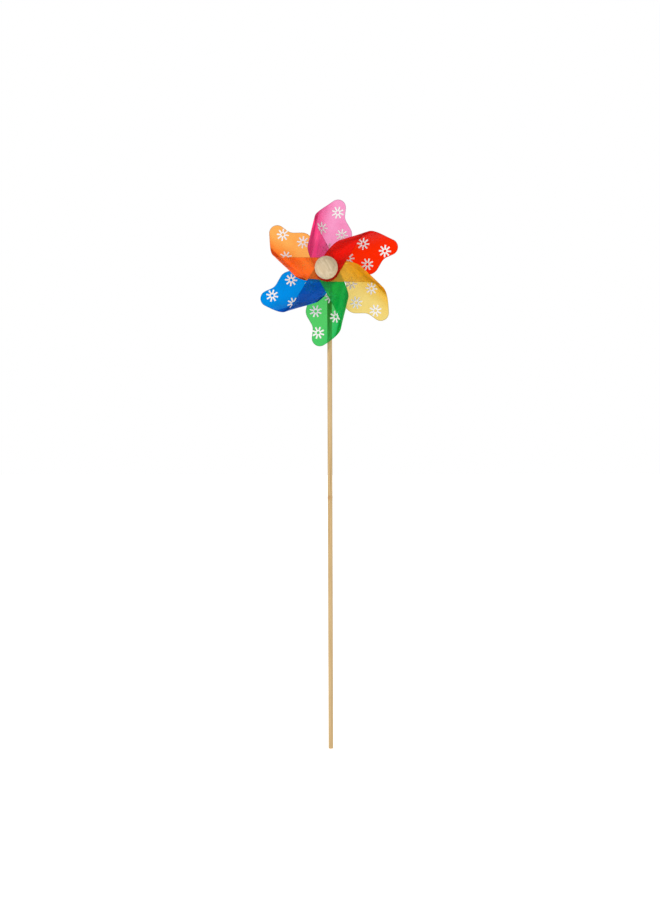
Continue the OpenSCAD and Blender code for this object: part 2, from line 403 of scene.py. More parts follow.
def grid_lines():
    """Places across the film: close together where it will bend, and wider apart on the flats."""
    places = []
    f = -grid_margin
    while f < 2 * fold_f + grid_margin:
        places.append(f)
        bends = bend_u - bend_margin < f < 2 * fold_f - bend_u + bend_margin
        f += bend_step if bends else flat_step
    return places


def hole_loop(f, radius):
    """Evenly spaced points round a hole's centre."""
    last = 2 * math.pi * (hole_steps - 1) / hole_steps
    return round_end(f, radius, 0, last, math.radians(360 / hole_steps))


def flat_film():
    """Points and triangles of the flat film, its loops, and each point's distance to the cut."""
    holes = [hole_loop(f, hole_r) for f in (0, 2 * fold_f)]
    loops = [outline] + holes
    grid = [(f, v) for f in grid_lines() for v in np.arange(grid_foot, grid_top, flat_step)]
    clear = inside_loop(grid, outline)
    for loop in loops:
        clear &= distance_to_loop(grid, loop) > room_at_cut
    for f in (0, 2 * fold_f):
        clear &= np.hypot(np.array(grid)[:, 0] - f, np.array(grid)[:, 1]) > room_at_hole
    inner = [Vector(p) for p, keep in zip(grid, clear) if keep]
    rim = inset(outline, rim_width)
    wide = [hole_loop(f, hole_r + rim_width) for f in (0, 2 * fold_f)]
    points, edges = [], []
    for loop in loops:
        start = len(points)
        points += loop
        edges += [(start + i, start + (i + 1) % len(loop)) for i in range(len(loop))]
    points += rim + [p for loop in wide for p in loop] + inner
    made, _, faces, *_ = delaunay_2d_cdt(points, edges, [], 1, 1e-5)
    middles = [sum((made[i] for i in face), Vector((0, 0))) / 3 for face in faces]
    keep = inside_loop([tuple(m) for m in middles], outline)
    for hole in holes:
        keep &= ~inside_loop([tuple(m) for m in middles], hole)
    faces = [face for face, wanted in zip(faces, keep) if wanted]
    used = sorted({i for face in faces for i in face})
    number = {old: new for new, old in enumerate(used)}
    made = [made[i] for i in used]
    faces = [[number[i] for i in face] for face in faces]
    flat = [tuple(p) for p in made]
    depth = np.min([distance_to_loop(flat, loop) for loop in loops], axis=0)
    return made, faces, depth


flat_points, flat_faces, cut_distance = flat_film()
print(f"flat film of {len(flat_points)} points and {len(flat_faces)} triangles")


# %% [markdown]
# Curling is one rule for film and print alike. Across the petal the film runs flat, bends widely, bends
# tightly round the fold, and comes back the same way in front. A bend like this only rolls the film and
# never stretches it, so a length measured on the flat film is the same length on the petal.
# Real film isn't perfectly smooth, so each petal gets its own faint waves away from the hub.

# %% Curl the film
def section(f, off):
    """Sideways place and depth of the film at length f, off its middle by off towards the curl's outside."""
    s = f - fold_f
    a = abs(s)
    if a < tight_len:
        t = a / fold_r
        u = tight_u + fold_r * math.cos(t)
        depth = half_depth - fold_r * math.sin(t)
    elif a < tight_len + wide_len:
        t = math.pi / 2 - wide_angle + (a - tight_len) / wide_r
        u = bend_u + wide_r * math.cos(t)
        depth = wide_r * (1 - math.sin(t))
    else:
        t = math.pi / 2
        u = bend_u - (a - tight_len - wide_len)
        depth = 0
    side = -1 if s > 0 else 1
    y = -curl_depth + depth if s > 0 else -depth
    return -u - math.cos(t) * off, y + side * math.sin(t) * off


def smooth_step(x, low, high):
    t = min(max((x - low) / (high - low), 0), 1)
    return t * t * (3 - 2 * t)


wave_height = 0.3
wave_size = 17
wave_seed_step = 7.3
still_r, wavy_r = 26, 42


def waves(f, v, seed):
    """Faint waviness of one petal's film, none near the hub, where the films lie in a stack."""
    from_hub = math.hypot(min(abs(f), abs(2 * fold_f - f)), v)
    height = noise(Vector((f / wave_size, v / wave_size, seed * wave_seed_step)))
    return wave_height * height * smooth_step(from_hub, still_r, wavy_r)


petal_names = ["pink", "orange", "blue", "green", "yellow", "red"]
rest_turn = math.radians(-14)
petal_turn = math.pi / 3
rear_ys = [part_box("petal_" + name)[1].y / MM - film_t / 2 for name in petal_names]


def curled(f, v, off, index):
    """Where a point of the flat film ends up on that petal, in metres."""
    x, y = section(f, off + waves(f, v, index))
    turn = rest_turn + index * petal_turn
    return Vector((x * math.cos(turn) - v * math.sin(turn), y + rear_ys[index],
                   x * math.sin(turn) + v * math.cos(turn))) * MM + Vector((0, 0, pin_z))


print(f"the fold lies {-section(fold_f, 0)[0]:.1f} mm to the side of the pin")

# %% [markdown]
# The film lets coloured light straight through, which is a Transparent shader with a tint: two layers
# then darken each other as they should, with no noise. Light meets a closed film twice, going in and
# coming out, so each face carries the square root of the tint. Towards the fold the film stands on
# edge and light goes through more of it, and this deeper colour is painted in as a painted shade that
# grows towards the fold; on the flat of the flap a painted sheen lightens it again.

# %% Tint of the film
# Painted shade along the cut edge: the tint there is multiplied by this grey.
painted_edge_shade = (0.35, 0.35, 0.38, 1)


def film_tint(tree, wing, flap):
    """The painted curl shade, the same made uneven, and the colour that one face lets through, with painted
    shade at the cut.
    """
    painted_curl_shade = add_node(tree, "ShaderNodeAttribute", attribute_name="painted_curl_shade").outputs["Fac"]
    rim = add_node(tree, "ShaderNodeAttribute", attribute_name="rim").outputs["Fac"]
    place = add_node(tree, "ShaderNodeTexCoord").outputs["Object"]
    cloud = add_node(tree, "ShaderNodeTexNoise",
                     {"Vector": place, "Scale": 38.0, "Detail": 3.0, "Roughness": 0.55}).outputs["Fac"]
    uneven = add_node(tree, "ShaderNodeMapRange",
                      {"Value": cloud, "From Min": 0.3, "From Max": 0.7,
                       "To Min": -0.16, "To Max": 0.16}).outputs[0]
    depth = add_node(tree, "ShaderNodeMath", {0: painted_curl_shade, 1: uneven}, operation="ADD", use_clamp=True).outputs[0]
    on_wing, on_flap = [(*[math.sqrt(c) for c in tint], 1) for tint in (wing, flap)]
    tint = mix_colour(tree, depth, on_wing, on_flap)
    return painted_curl_shade, depth, mix_colour(tree, rim, tint, painted_edge_shade, "MULTIPLY")


print("a cut edge lets through", painted_edge_shade[:3])

# %% [markdown]
# Real film is also slightly milky, most of all where it is bent, and it creases there. That part of the
# look is a glossy shader with a body colour, deepened on the curl by the painted curl shade. Streaks
# drawn on the flat film, each petal's at a place of its own, emboss the creases, and on the curl they
# also paint light and dark streaks into the body colour: a painted sheen.

# %% Milky body of the film
streak_turn = math.radians(28)
streak_scale = (17, 5, 1)


def film_body(tree, streak_place, painted_curl_shade, depth, wing, body):
    """Glossy shader for what the film doesn't let through."""
    flat = add_node(tree, "ShaderNodeUVMap", uv_map="flat_film").outputs[0]
    drawn = add_node(tree, "ShaderNodeMapping",
                     {"Vector": flat, "Rotation": (0, 0, streak_turn), "Scale": streak_scale,
                      "Location": (streak_place, 0, 0)}).outputs[0]
    creases = add_node(tree, "ShaderNodeTexNoise",
                       {"Vector": drawn, "Scale": 1.0, "Detail": 2.5, "Distortion": 0.8}).outputs["Fac"]
    bump = add_node(tree, "ShaderNodeBump",
                    {"Height": creases, "Strength": 0.16, "Distance": 0.0012}).outputs[0]
    # Painted sheen: light and dark streaks multiplied into the body colour on the curl.
    painted_crease_sheen = add_node(tree, "ShaderNodeMapRange",
                   {"Value": creases, "From Min": 0.36, "From Max": 0.66,
                    "To Min": 0.84, "To Max": 1.45}).outputs[0]
    milk = mix_colour(tree, depth, (*wing, 1), (*body, 1))
    streaks = mix_colour(tree, painted_curl_shade, milk, painted_crease_sheen, "MULTIPLY")
    return add_node(tree, "ShaderNodeBsdfPrincipled",
                    {"Base Color": streaks, "Roughness": 0.2, "Specular IOR Level": 0.25,
                     "Normal": bump}).outputs[0]


print(f"streaks turned by {math.degrees(streak_turn):.0f} degrees")

# %% [markdown]
# The two parts are mixed by how much the film reflects at that angle and how milky it is there. Each
# colour has three tints: let through by the flat wing, let through by the curled flap, and its body.
# The flap's deeper tint is painted shade on the same film.

# %% Film materials
streak_step = 3.7


def film_material(name, streak_place, wing, flap, body):
    """Tinted clear film. wing and flap are what one layer lets through on the flat and on the curl, where the
    deeper tint is painted shade.
    """
    material, tree, _ = new_material(name)
    tree.nodes.clear()
    painted_curl_shade, depth, tint = film_tint(tree, wing, flap)
    clear = add_node(tree, "ShaderNodeBsdfTransparent", {"Color": tint}).outputs[0]
    gloss = film_body(tree, streak_place, painted_curl_shade, depth, wing, body)
    facing = add_node(tree, "ShaderNodeFresnel", {"IOR": 1.45}).outputs[0]
    cloudy = add_node(tree, "ShaderNodeMapRange", {"Value": depth, "To Min": 0.10, "To Max": 0.32}).outputs[0]
    shine = add_node(tree, "ShaderNodeMath", {0: facing, 1: cloudy}, operation="ADD",
                     use_clamp=True).outputs[0]
    film = add_node(tree, "ShaderNodeMixShader", {0: shine, 1: clear, 2: gloss}).outputs[0]
    add_node(tree, "ShaderNodeOutputMaterial", {"Surface": film})
    return material


film_tints = {
    "pink": ((0.96, 0.36, 0.62), (0.80, 0.06, 0.25), (0.80, 0.06, 0.26)),
    "orange": ((1.0, 0.47, 0.11), (0.93, 0.19, 0.01), (0.93, 0.15, 0.005)),
    "blue": ((0.0, 0.30, 0.82), (0.02, 0.16, 0.48), (0.0, 0.1, 0.45)),
    "green": ((0.10, 0.64, 0.15), (0.01, 0.60, 0.18), (0.0, 0.44, 0.07)),
    "yellow": ((0.90, 0.72, 0.24), (0.86, 0.50, 0.02), (0.82, 0.44, 0.01)),
    "red": ((1.0, 0.025, 0.0), (0.80, 0.03, 0.02), (0.72, 0.015, 0.01)),
}
film_materials = {name: film_material(name + "_film", streak_step * place, *tints)
                  for place, (name, tints) in enumerate(film_tints.items())}
print("films:", ", ".join(film_materials))


# %% [markdown]
# Each petal is a closed skin round the curled sheet: one layer of triangles on each face of the film and
# a narrow wall along every cut. The walls are found as the edges that only one triangle uses.
# The distance to the cut and the painted curl shade are stored on the points for the material: a
# painted shade that deepens towards the fold, less a painted sheen on the flat of the flap.

# %% Petals
def piece_from(name, points, faces, material, smooth_below=40):
    """A mesh object at the origin, smooth except at edges sharper than that many degrees."""
    mesh = bpy.data.meshes.new(name)
    mesh.from_pydata(points, [], faces)
    mesh.materials.append(material)
    mesh.shade_smooth()
    mesh.set_sharp_from_angle(angle=math.radians(smooth_below))
    mesh.update()
    piece = bpy.data.objects.new(name, mesh)
    bpy.context.scene.collection.objects.link(piece)
    return piece


def cut_edges(faces):
    """Edges that only one triangle uses, each in that triangle's direction."""
    seen_edges = {(a, b) for face in faces for a, b in zip(face, face[1:] + face[:1])}
    return [(a, b) for a, b in seen_edges if (b, a) not in seen_edges]


uv_size = 150
uv_margin = 0.25
# Where the painted curl shade begins, and how much a painted sheen lightens the flat of the flap.
deep_from = 6
painted_flap_sheen = 0.3
fade_from, fade_to = fold_f + 6, 2 * fold_f - 8


def make_petal(index):
    name = petal_names[index]
    count = len(flat_points)
    back = [curled(p.x, p.y, film_t / 2, index) for p in flat_points]
    front = [curled(p.x, p.y, -film_t / 2, index) for p in flat_points]
    faces = list(flat_faces)
    faces += [[count + i for i in reversed(face)] for face in flat_faces]
    faces += [[b, a, count + a, count + b] for a, b in sorted(cut_edges(flat_faces))]
    petal = piece_from(f"{name}_petal", back + front, faces, film_materials[name])
    rim = np.clip(1 - np.array(cut_distance) / rim_width, 0, 1)
    # Painted shade that deepens towards the fold, less a painted sheen on the flat of the flap.
    painted_curl_shade = np.array([smooth_step(p.x, deep_from, fold_f) - painted_flap_sheen * smooth_step(p.x, fade_from, fade_to)
                     for p in flat_points])
    for label, values in (("rim", rim), ("painted_curl_shade", painted_curl_shade)):
        layer = petal.data.attributes.new(label, "FLOAT", "POINT")
        layer.data.foreach_set("value", np.concatenate([values, values]).astype(np.float32))
    corners = np.array([loop.vertex_index % count for loop in petal.data.loops])
    flat = np.array([tuple(p) for p in flat_points])[corners] / uv_size + uv_margin
    petal.data.uv_layers.new(name="flat_film").data.foreach_set("uv", flat.astype(np.float32).ravel())
    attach(petal, "rotor")
    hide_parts("petal_" + name)
    return petal


petals = [make_petal(index) for index in range(len(petal_names))]
print(f"{len(petals)} petals of {len(petals[0].data.polygons)} faces each")

# %% [markdown]
# The daisies are screen-printed on the flat film, four to a petal, in the same places on all six.
# One daisy is eight short strokes round a ring. Geometry Nodes suit that: a stroke is made once, set
# out eight times about a centre, and the daisy is set out again on every printed spot.
# First comes the stroke, a short tube that starts narrow, swells and ends round.

# %% One stroke of a daisy
stroke_shape = [(0, 0.45), (0.2, 0.55), (0.5, 0.85), (0.75, 1.0), (0.93, 0.8), (1, 0.3)]
stroke_points = 9
tube_sides = 8


def half(tree, socket):
    return add_node(tree, "ShaderNodeMath", {0: socket, 1: 0.5}, operation="MULTIPLY").outputs[0]


def tube_section(tree, width):
    return add_node(tree, "GeometryNodeCurvePrimitiveCircle",
                    {"Resolution": tube_sides, "Radius": half(tree, width)}).outputs[0]


def daisy_stroke(tree, given):
    """Tube with rounded ends that points outwards from where the ring ends."""
    outer = add_node(tree, "ShaderNodeMath", {0: given["Ring radius"], 1: given["Stroke length"]},
                     operation="ADD").outputs[0]
    start = add_node(tree, "ShaderNodeCombineXYZ", {"X": given["Ring radius"]}).outputs[0]
    end = add_node(tree, "ShaderNodeCombineXYZ", {"X": outer}).outputs[0]
    line = add_node(tree, "GeometryNodeCurvePrimitiveLine", {"Start": start, "End": end}).outputs[0]
    fine = add_node(tree, "GeometryNodeResampleCurve", {"Curve": line, "Count": stroke_points}).outputs[0]
    along = add_node(tree, "GeometryNodeSplineParameter").outputs["Factor"]
    plump = add_node(tree, "ShaderNodeFloatCurve", {"Value": along})
    shape = plump.mapping.curves[0]
    for place, height in stroke_shape[1:-1]:
        shape.points.new(place, height)
    shape.points[0].location = stroke_shape[0]
    shape.points[-1].location = stroke_shape[-1]
    plump.mapping.update()
    sized = add_node(tree, "GeometryNodeSetCurveRadius",
                     {"Curve": fine, "Radius": plump.outputs[0]}).outputs[0]
    return add_node(tree, "GeometryNodeCurveToMesh",
                    {"Curve": sized, "Profile Curve": tube_section(tree, given["Stroke width"]),
                     "Fill Caps": True}).outputs[0]


print(f"a stroke of {stroke_points} rings of {tube_sides} points")

# %% [markdown]
# The stroke is then set out round a centre: as many points as strokes lie there, and each turns its copy
# by its share of a full turn. The ring round the hollow middle is joined on.

# %% One daisy
ring_points = 24


def set_out(tree, points, instance, turn):
    """Copies of an instance on every point, each turned about the upright axis."""
    spin = add_node(tree, "ShaderNodeCombineXYZ", {"Z": turn}).outputs[0]
    return add_node(tree, "GeometryNodeInstanceOnPoints",
                    {"Points": points, "Instance": instance, "Rotation": spin}).outputs[0]


def whole_daisy(tree, given):
    centres = add_node(tree, "GeometryNodeMeshLine", {"Count": given["Strokes"], "Offset": (0, 0, 0)},
                       mode="OFFSET").outputs[0]
    number = add_node(tree, "GeometryNodeInputIndex").outputs[0]
    share = add_node(tree, "ShaderNodeMath", {0: number, 1: given["Strokes"]}, operation="DIVIDE").outputs[0]
    turn = add_node(tree, "ShaderNodeMath", {0: share, 1: 2 * math.pi}, operation="MULTIPLY").outputs[0]
    strokes = set_out(tree, centres, daisy_stroke(tree, given), turn)
    circle = add_node(tree, "GeometryNodeCurvePrimitiveCircle",
                      {"Resolution": ring_points, "Radius": given["Ring radius"]}).outputs[0]
    ring = add_node(tree, "GeometryNodeCurveToMesh",
                    {"Curve": circle, "Profile Curve": tube_section(tree, given["Ring width"])}).outputs[0]
    daisy = add_node(tree, "GeometryNodeJoinGeometry")
    tree.links.new(strokes, daisy.inputs[0])
    tree.links.new(ring, daisy.inputs[0])
    return daisy.outputs[0]


print(f"a ring of {ring_points} points inside the strokes")

# %% [markdown]
# The whole tree takes the printed spots and returns the inked daisies, each turned a little differently.
# Its sizes are named inputs. Two more nodes end it: the copies are made real, because an export drops
# instances, and all of it gets the ink.

# %% Geometry Nodes tree of the print
strokes_per_daisy = 8
print_seed = 4
most_turn = math.pi / 4
RANDOM_MAX, RANDOM_FLOAT = 3, 1
daisy_sizes = [("Strokes", "Int", strokes_per_daisy), ("Ring radius", "Float", 2.05),
               ("Ring width", "Float", 1.15), ("Stroke length", "Float", 4.2),
               ("Stroke width", "Float", 1.7), ("Seed", "Int", print_seed)]


def print_tree(ink):
    tree = bpy.data.node_groups.new("daisy_print", "GeometryNodeTree")
    face = tree.interface
    face.new_socket("Geometry", in_out="INPUT", socket_type="NodeSocketGeometry")
    for label, kind, value in daisy_sizes:
        face.new_socket(label, in_out="INPUT", socket_type="NodeSocket" + kind).default_value = value
    face.new_socket("Geometry", in_out="OUTPUT", socket_type="NodeSocketGeometry")
    given = add_node(tree, "NodeGroupInput").outputs
    turn = add_node(tree, "FunctionNodeRandomValue", {"Seed": given["Seed"], RANDOM_MAX: most_turn},
                    data_type="FLOAT").outputs[RANDOM_FLOAT]
    prints = set_out(tree, given["Geometry"], whole_daisy(tree, given), turn)
    real = add_node(tree, "GeometryNodeRealizeInstances", {"Geometry": prints}).outputs[0]
    inked = add_node(tree, "GeometryNodeSetMaterial", {"Geometry": real, "Material": ink}).outputs[0]
    add_node(tree, "NodeGroupOutput", {"Geometry": inked})
    return tree


def ink_material():
    """White screen ink: matt and not quite even."""
    material, tree, shader = new_material("white_ink")
    place = add_node(tree, "ShaderNodeTexCoord").outputs["Object"]
    mottle = add_node(tree, "ShaderNodeTexNoise", {"Vector": place, "Scale": 500.0}).outputs["Fac"]
    white = mix_colour(tree, mottle, (0.70, 0.68, 0.66, 1), (0.84, 0.82, 0.79, 1))
    tree.links.new(white, shader.inputs["Base Color"])
    shader.inputs["Roughness"].default_value = 0.6
    return material


daisy_tree = print_tree(ink_material())
print("daisy tree of", len(daisy_tree.nodes), "nodes")

# %% [markdown]
# The spots lie on one long sheet with the six films side by side, as they would be printed. The tree's
# result becomes a plain mesh, and each point of it is then carried from its place on the sheet to the
# petal that it belongs to. The ink is thin, so the tubes are pressed flat on the way.

# %% Print the daisies and lay them on the petals
sheet_pitch = 200
slip_f, slip_v = 1, 1.2
printed_spots = [(18.5, 42.5), (5, 62), (-3.7, 40.3), (7.5, 23.5)]
slip = random.Random(11)
spots = [(index * sheet_pitch + f + slip.uniform(-slip_f, slip_f),
          v + slip.uniform(-slip_v, slip_v), 0)
         for index in range(len(petal_names)) for f, v in printed_spots]
spot_mesh = bpy.data.meshes.new("spots")
spot_mesh.from_pydata(spots, [], [])
sheet = bpy.data.objects.new("print_sheet", spot_mesh)
bpy.context.scene.collection.objects.link(sheet)
printing = sheet.modifiers.new("print", "NODES")
printing.node_group = daisy_tree
inputs = {item.name: item.identifier for item in daisy_tree.interface.items_tree if item.in_out == "INPUT"}
printing[inputs["Strokes"]] = strokes_per_daisy
printing[inputs["Seed"]] = print_seed
evaluated = sheet.evaluated_get(bpy.context.evaluated_depsgraph_get())
daisy_mesh = bpy.data.meshes.new_from_object(evaluated)
sheet.modifiers.remove(printing)
bpy.data.objects.remove(sheet)

ink_height = 0.05
ink_gap = 0.02
tallest = max(v.co.z for v in daisy_mesh.vertices)
for vertex in daisy_mesh.vertices:
    index = round(vertex.co.x / sheet_pitch)
    lift = film_t / 2 + ink_gap + ink_height * (vertex.co.z / tallest + 1) / 2
    vertex.co = curled(vertex.co.x - index * sheet_pitch, vertex.co.y, -lift, index)
daisy_mesh.flip_normals()
daisies = bpy.data.objects.new("daisy_print", daisy_mesh)
daisy_mesh.name = "daisy_print"
daisy_mesh.shade_smooth()
bpy.context.scene.collection.objects.link(daisies)
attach(daisies, "rotor")
print(f"{len(spots)} daisies of {len(daisy_mesh.polygons) // len(spots)} faces each")

# %% [markdown]
# Wood, wire and plastic are all noise of some kind: it colours the surface, and often roughens and
# embosses it too. Noise that is squeezed across a direction draws fibres, grain or drawn lines along it.

# %% Helpers for surfaces
def stretched_noise(tree, place, scale, **inputs):
    """Noise whose pattern is squeezed by that much along each axis."""
    at = add_node(tree, "ShaderNodeMapping", {"Vector": place, "Scale": scale}).outputs[0]
    return add_node(tree, "ShaderNodeTexNoise", {"Vector": at, "Scale": 1.0, **inputs}).outputs["Fac"]


def ramp_colour(tree, value, stops):
    """Colour that follows a value through stops of (value, colour)."""
    node = add_node(tree, "ShaderNodeValToRGB", {"Fac": value})
    elements = node.color_ramp.elements
    for element, (place, colour) in ((elements[0], stops[0]), (elements[1], stops[-1])):
        element.position = place
        element.color = (*colour, 1)
    for place, colour in stops[1:-1]:
        elements.new(place).color = (*colour, 1)
    return node.outputs["Color"]


def roughen(tree, shader, pattern, low, high):
    rough = add_node(tree, "ShaderNodeMapRange", {"Value": pattern, "To Min": low, "To Max": high})
    tree.links.new(rough.outputs[0], shader.inputs["Roughness"])


def emboss(tree, shader, pattern, strength, depth):
    bump = add_node(tree, "ShaderNodeBump", {"Height": pattern, "Strength": strength, "Distance": depth})
    tree.links.new(bump.outputs[0], shader.inputs["Normal"])


print("helpers:", ", ".join(f.__name__ for f in (stretched_noise, ramp_colour, roughen, emboss)))

# %% [markdown]
# Bamboo is a bundle of straight fibres, so its pattern is noise stretched along the stick, with pale and
# dark threads and a darker band at the node, strongest on one side.

# %% Bamboo
aged_colour = (0.42, 0.22, 0.07, 1)


def bamboo_material(node_z):
    material, tree, shader = new_material("bamboo")
    place = add_node(tree, "ShaderNodeTexCoord").outputs["Object"]
    threads = stretched_noise(tree, place, (1900, 1900, 26), Detail=4.0, Roughness=0.6)
    patches = stretched_noise(tree, place, (260, 260, 22), Detail=2.0)
    fibre = ramp_colour(tree, threads, [(0.28, (0.38, 0.25, 0.10)), (0.48, (0.53, 0.385, 0.185)),
                                        (0.72, (0.62, 0.47, 0.265))])
    warm = mix_colour(tree, patches, fibre, (0.96, 0.82, 0.64, 1), "MULTIPLY")
    at = add_node(tree, "ShaderNodeSeparateXYZ", {"Vector": place}).outputs
    above = add_node(tree, "ShaderNodeMath", {0: at["Z"], 1: node_z}, operation="SUBTRACT").outputs[0]
    away = add_node(tree, "ShaderNodeMath", {0: above}, operation="ABSOLUTE").outputs[0]
    band = add_node(tree, "ShaderNodeMapRange",
                    {"Value": away, "From Min": 0.0006, "From Max": 0.0035, "To Min": 0.95, "To Max": 0.0},
                    interpolation_type="SMOOTHSTEP").outputs[0]
    left = add_node(tree, "ShaderNodeMapRange",
                    {"Value": at["X"], "From Min": -0.0022, "From Max": 0.002,
                     "To Min": 1.0, "To Max": 0.25}).outputs[0]
    spot = add_node(tree, "ShaderNodeMath", {0: band, 1: left}, operation="MULTIPLY").outputs[0]
    tree.links.new(mix_colour(tree, spot, warm, aged_colour), shader.inputs["Base Color"])
    roughen(tree, shader, threads, 0.42, 0.62)
    emboss(tree, shader, threads, 0.35, 0.0003)
    return material


node_height = 258
bamboo = bamboo_material(node_height * MM)
print("bamboo of", len(bamboo.node_tree.nodes), "nodes")

# %% [markdown]
# The bead is turned from a plain pale wood. Its fine grain runs slantwise across its face, because nobody
# lines a bead up before it is glued on.

# %% Bead wood
grain_slant = math.radians(30)


def bead_material():
    material, tree, shader = new_material("bead_wood")
    place = add_node(tree, "ShaderNodeTexCoord").outputs["Object"]
    slant = add_node(tree, "ShaderNodeMapping",
                     {"Vector": place, "Rotation": (0, grain_slant, 0)}).outputs[0]
    grain = stretched_noise(tree, slant, (620, 400, 40), Detail=5.0, Roughness=0.6)
    years = stretched_noise(tree, slant, (230, 230, 14), Detail=2.0)
    colour = ramp_colour(tree, grain, [(0.3, (0.40, 0.31, 0.19)), (0.7, (0.62, 0.52, 0.36))])
    warm = mix_colour(tree, years, colour, (0.95, 0.86, 0.74, 1), "MULTIPLY")
    tree.links.new(warm, shader.inputs["Base Color"])
    shader.inputs["Roughness"].default_value = 0.55
    emboss(tree, shader, grain, 0.25, 0.0003)
    return material


bead_wood = bead_material()
print("bead wood of", len(bead_wood.node_tree.nodes), "nodes")

# %% [markdown]
# The stick, the bead and the small round parts are all turned shapes: a profile carried round an axis.
# One lathe helper makes them, and small waves in the radius keep the bamboo from looking machined.
# A profile is a list of (place along the axis, radius), and the first and last radius of zero close it.

# %% Lathe
smooth_below = 35


def turned(name, profile, axis, material, steps, wobble=None):
    """Carries the profile round the pin's axis, which runs forwards, or round the stick's, which runs up."""
    points, faces, rings = [], [], []
    for along, radius in profile:
        ring = []
        for i in range(1 if radius == 0 else steps):
            a = 2 * math.pi * i / steps
            r = radius + (wobble(along, a) if wobble and radius else 0)
            across = (r * math.cos(a), r * math.sin(a))
            ring.append(len(points))
            if axis == "up":
                points.append(Vector((across[0], across[1], along)) * MM)
            else:
                points.append(Vector((across[0], -along, across[1])) * MM + Vector((0, 0, pin_z)))
        rings.append(ring)
    closed = profile[0][1] > 0
    pairs = list(zip(rings, rings[1:])) + ([(rings[-1], rings[0])] if closed else [])
    for a, b in pairs:
        for i in range(steps):
            j = (i + 1) % steps
            corners = [a[i % len(a)], a[j % len(a)], b[j % len(b)], b[i % len(b)]]
            faces.append(list(dict.fromkeys(corners)))
    return piece_from(name, points, faces, material, smooth_below)


def stands_for(piece, node, body):
    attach(piece, body)
    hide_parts(node)


def along_pin(node):
    """How far forwards of the stick's axis a node begins and ends, and its radius, in millimetres."""
    low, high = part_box(node)
    return -high.y / MM, -low.y / MM, (high.x - low.x) / 2 / MM


print("turned pieces are smooth up to", smooth_below, "degrees")

# %% [markdown]
# The stick could be a plain cylinder, but bamboo has a node: a soft ridge with a fine groove above it.
# Rings lie close together there and far apart on the rest. The wobble keeps it inside its packed size.

# %% Bamboo stick
stick_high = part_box("bamboo_stick")[1]
stick_len = stick_high.z / MM
stick_r = 2.5
stick_edge = 0.4
foot_edge = 0.15
foot_lip = (0.12, 0.02)
stick_sides = 40
node_rise = stick_high.x / MM - stick_r
ridge_width = 1.1
groove_depth, groove_rise, groove_width = 0.06, 2.4, 0.5
dent_depth = 0.03
dent_turns, dent_len = 1.3, 45
smooth_at_node = 3
far_step, near_step = 4, 0.4
first_ring, last_gap = 2, 1
node_below, node_above = 5, 6


def stick_radius(z):
    """Radius of the stick, with the node's soft ridge and a fine groove above it."""
    ridge = node_rise * math.exp(-((z - node_height) / ridge_width) ** 2)
    groove = groove_depth * math.exp(-((z - node_height - groove_rise) / groove_width) ** 2)
    return stick_r + ridge - groove


def stick_wobble(z, a):
    """Flats and hollows a few hundredths deep, as on a stick that was drawn through a round cutter."""
    near_node = math.exp(-((z - node_height) / smooth_at_node) ** 2)
    dent = noise(Vector((math.cos(a) * dent_turns, math.sin(a) * dent_turns, z / dent_len)))
    return (dent_depth * dent - dent_depth) * (1 - near_node)


heights = sorted({*np.arange(first_ring, stick_len - last_gap, far_step).tolist(),
                  *np.arange(node_height - node_below, node_height + node_above, near_step).tolist()})
stick_profile = [(0, 0), (0, stick_r - foot_edge), (foot_lip[0], stick_r - foot_lip[1])]
stick_profile += [(z, stick_radius(z)) for z in heights]
stick_profile += [(stick_len - stick_edge, stick_r), (stick_len, stick_r - stick_edge), (stick_len, 0)]
stick = turned("bamboo_stick_piece", stick_profile, "up", bamboo, stick_sides, stick_wobble)
stands_for(stick, "bamboo_stick", "stick")
print(f"stick {stick_len:.0f} mm long, {2 * stick_r} mm thick, with {len(stick.data.polygons)} faces")

# %% [markdown]
# The bead is a ball with a small flat at its back, where it faces the hub, and a blind hole in the flat
# that the pin goes into. Its profile starts at the bottom of the hole and ends at the front of the ball.

# %% Wooden bead
bead_back, bead_front, bead_r = along_pin("wood_bead")
bead_middle = bead_front - bead_r
flat_r = math.sqrt(bead_r ** 2 - (bead_middle - bead_back) ** 2)
bead_hole = 0.92
hole_depth = 12
hole_edge = 0.25
flat_edge = 0.3
flat_gap = 0.03
ball_steps = 44
bead_sides = 72
start_angle = math.asin(flat_r / bead_r) + flat_gap
bead_profile = [(bead_back + hole_depth, 0), (bead_back + hole_depth, bead_hole),
                (bead_back + hole_edge, bead_hole), (bead_back, bead_hole + hole_edge),
                (bead_back, flat_r - flat_edge)]
for i in range(ball_steps + 1):
    a = start_angle + (math.pi - start_angle) * i / ball_steps
    bead_profile.append((bead_middle - bead_r * math.cos(a), bead_r * math.sin(a) if i < ball_steps else 0))
bead = turned("wood_bead_piece", bead_profile, "forwards", bead_wood, bead_sides)
stands_for(bead, "wood_bead", "stick")
print(f"bead {2 * bead_r:.0f} mm across, {bead_middle:.1f} mm in front of the stick")

# %% [markdown]
# The rest is small and mostly hidden, but it shows from the side and from behind: the wire pin with its
# pressed head, the white spacer and tube, and two clear washers. Wire has fine lines along it from being
# drawn, and moulded plastic a faint unevenness.

# %% Materials of the small parts
dark_share = 0.93


def wire_material():
    material, tree, shader = new_material("wire")
    place = add_node(tree, "ShaderNodeTexCoord").outputs["Object"]
    drawn = stretched_noise(tree, place, (4000, 120, 4000), Detail=3.0)
    steel = mix_colour(tree, drawn, (0.48, 0.48, 0.50, 1), (0.68, 0.68, 0.70, 1))
    tree.links.new(steel, shader.inputs["Base Color"])
    shader.inputs["Metallic"].default_value = 1.0
    roughen(tree, shader, drawn, 0.22, 0.42)
    return material


